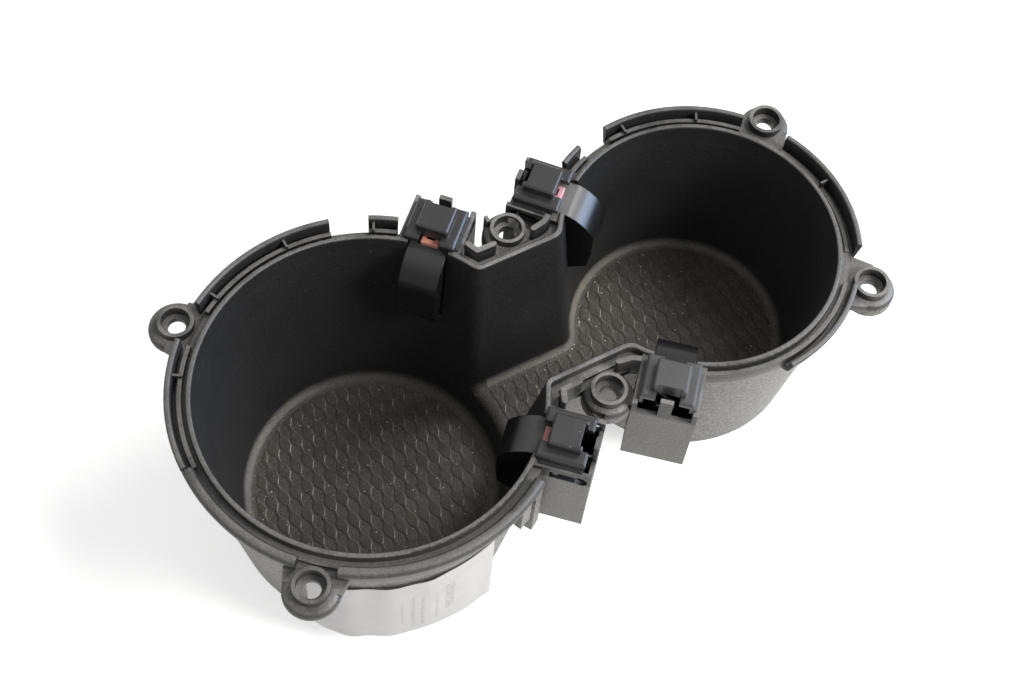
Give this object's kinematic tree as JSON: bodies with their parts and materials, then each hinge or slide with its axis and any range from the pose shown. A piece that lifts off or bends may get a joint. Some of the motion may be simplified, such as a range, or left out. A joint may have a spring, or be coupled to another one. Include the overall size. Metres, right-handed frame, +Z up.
{
  "type": "car cup holder",
  "caption": "Moulded double cup holder for a car console: a deep and a shallow well joined by a waist, with sprung gripper fingers, screw ears and a ribbed rim.",
  "frame": {"origin": "midway between the two waist screw holes, level with the screw seats", "axes": "+X from the large well towards the small one, +Y towards the rear side, +Z up out of the wells"},
  "size_m": [0.1831, 0.0957, 0.0652],
  "materials": {
    "body": "fine grain",
    "finger": "satin",
    "cap": "satin",
    "pad": "satin",
    "steel": "drawn wire",
    "paper": "paper"
  },
  "bodies": {
    "holder": {"holder_body": "body", "label": "paper", "big_rear_cap": "cap", "big_rear_spring": "steel", "big_front_cap": "cap", "big_front_spring": "steel", "small_rear_cap": "cap", "small_rear_spring": "steel", "small_front_cap": "cap", "small_front_spring": "steel"},
    "big_rear_gripper": {"big_rear_finger": "finger", "big_rear_slide_pad": "pad"},
    "big_front_gripper": {"big_front_finger": "finger", "big_front_slide_pad": "pad"},
    "small_rear_gripper": {"small_rear_finger": "finger", "small_rear_slide_pad": "pad"},
    "small_front_gripper": {"small_front_finger": "finger", "small_front_slide_pad": "pad"}
  },
  "joints": [
    {"name": "big_rear_slide", "type": "slide", "parent": "holder", "child": "big_rear_gripper", "axis": [0.7254, 0.6884, 0], "range_m": [0, 0.006], "stiffness_N_per_m": 150, "springref_m": -0.005, "deforming": ["big_rear_spring"]},
    {"name": "big_front_slide", "type": "slide", "parent": "holder", "child": "big_front_gripper", "axis": [0.7254, -0.6884, 0], "range_m": [0, 0.006], "stiffness_N_per_m": 150, "springref_m": -0.005, "deforming": ["big_front_spring"]},
    {"name": "small_rear_slide", "type": "slide", "parent": "holder", "child": "small_rear_gripper", "axis": [-0.6626, 0.749, 0], "range_m": [0, 0.006], "stiffness_N_per_m": 150, "springref_m": -0.005, "deforming": ["small_rear_spring"]},
    {"name": "small_front_slide", "type": "slide", "parent": "holder", "child": "small_front_gripper", "axis": [-0.6626, -0.749, 0], "range_m": [0, 0.006], "stiffness_N_per_m": 150, "springref_m": -0.005, "deforming": ["small_front_spring"]}
  ]
}
